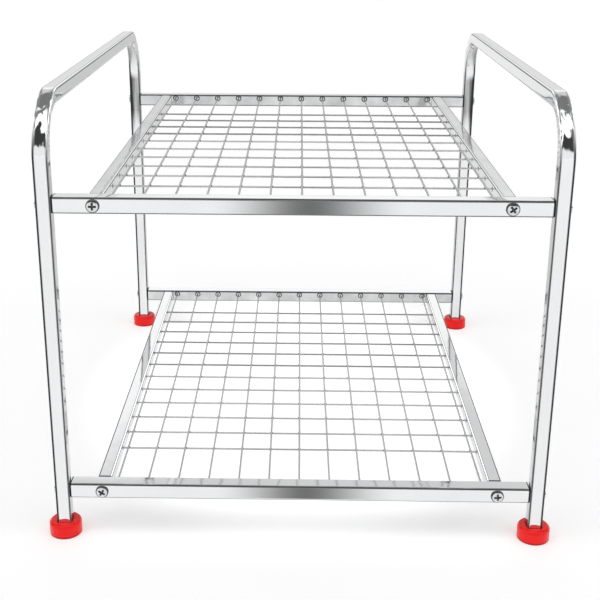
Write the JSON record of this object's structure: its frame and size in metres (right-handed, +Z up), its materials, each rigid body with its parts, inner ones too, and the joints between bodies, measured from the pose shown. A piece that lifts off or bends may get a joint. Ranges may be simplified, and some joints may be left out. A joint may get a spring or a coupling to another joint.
{
  "type": "two-tier countertop shelf",
  "caption": "Free-standing polished steel shelf: bent square-tube side frames with carrying handles, tube-framed welded wire decks on two levels, red moulded feet.",
  "frame": {"origin": "on the table, below the middle of the shelf", "axes": "+Z up, -Y to the front, +X to the right as seen from the front"},
  "size_m": [0.414, 0.4964, 0.3645],
  "materials": {
    "polished_tube": "polished stainless tube, mirror-like with fine drawing lines",
    "polished_wire": "bright drawn wire, spot-welded",
    "screw_steel": "bright screw with a cross recess",
    "red_plastic": "glossy moulded plastic",
    "insert_nylon": "moulded nylon, hidden inside the tubes"
  },
  "bodies": {
    "root": {"left_side_frame": "polished_tube", "front_left_foot": "red_plastic", "rear_left_foot": "red_plastic", "right_side_frame": "polished_tube", "front_right_foot": "red_plastic", "rear_right_foot": "red_plastic", "lower_wire_grid": "polished_wire", "lower_front_rail": "polished_tube", "lower_rear_rail": "polished_tube", "lower_left_side_rail": "polished_tube", "lower_right_side_rail": "polished_tube", "lower_front_left_rail_screw": "screw_steel", "lower_front_left_leg_screw": "screw_steel", "lower_front_left_side_rail_insert": "insert_nylon", "lower_front_left_rail_insert": "insert_nylon", "lower_rear_left_rail_screw": "screw_steel", "lower_rear_left_leg_screw": "screw_steel", "lower_rear_left_side_rail_insert": "insert_nylon", "lower_rear_left_rail_insert": "insert_nylon", "lower_front_right_rail_screw": "screw_steel", "lower_front_right_leg_screw": "screw_steel", "lower_front_right_side_rail_insert": "insert_nylon", "lower_front_right_rail_insert": "insert_nylon", "lower_rear_right_rail_screw": "screw_steel", "lower_rear_right_leg_screw": "screw_steel", "lower_rear_right_side_rail_insert": "insert_nylon", "lower_rear_right_rail_insert": "insert_nylon", "upper_wire_grid": "polished_wire", "upper_front_rail": "polished_tube", "upper_rear_rail": "polished_tube", "upper_left_side_rail": "polished_tube", "upper_right_side_rail": "polished_tube", "upper_front_left_rail_screw": "screw_steel", "upper_front_left_leg_screw": "screw_steel", "upper_front_left_side_rail_insert": "insert_nylon", "upper_front_left_rail_insert": "insert_nylon", "upper_rear_left_rail_screw": "screw_steel", "upper_rear_left_leg_screw": "screw_steel", "upper_rear_left_side_rail_insert": "insert_nylon", "upper_rear_left_rail_insert": "insert_nylon", "upper_front_right_rail_screw": "screw_steel", "upper_front_right_leg_screw": "screw_steel", "upper_front_right_side_rail_insert": "insert_nylon", "upper_front_right_rail_insert": "insert_nylon", "upper_rear_right_rail_screw": "screw_steel", "upper_rear_right_leg_screw": "screw_steel", "upper_rear_right_side_rail_insert": "insert_nylon", "upper_rear_right_rail_insert": "insert_nylon"}
  },
  "joints": []
}
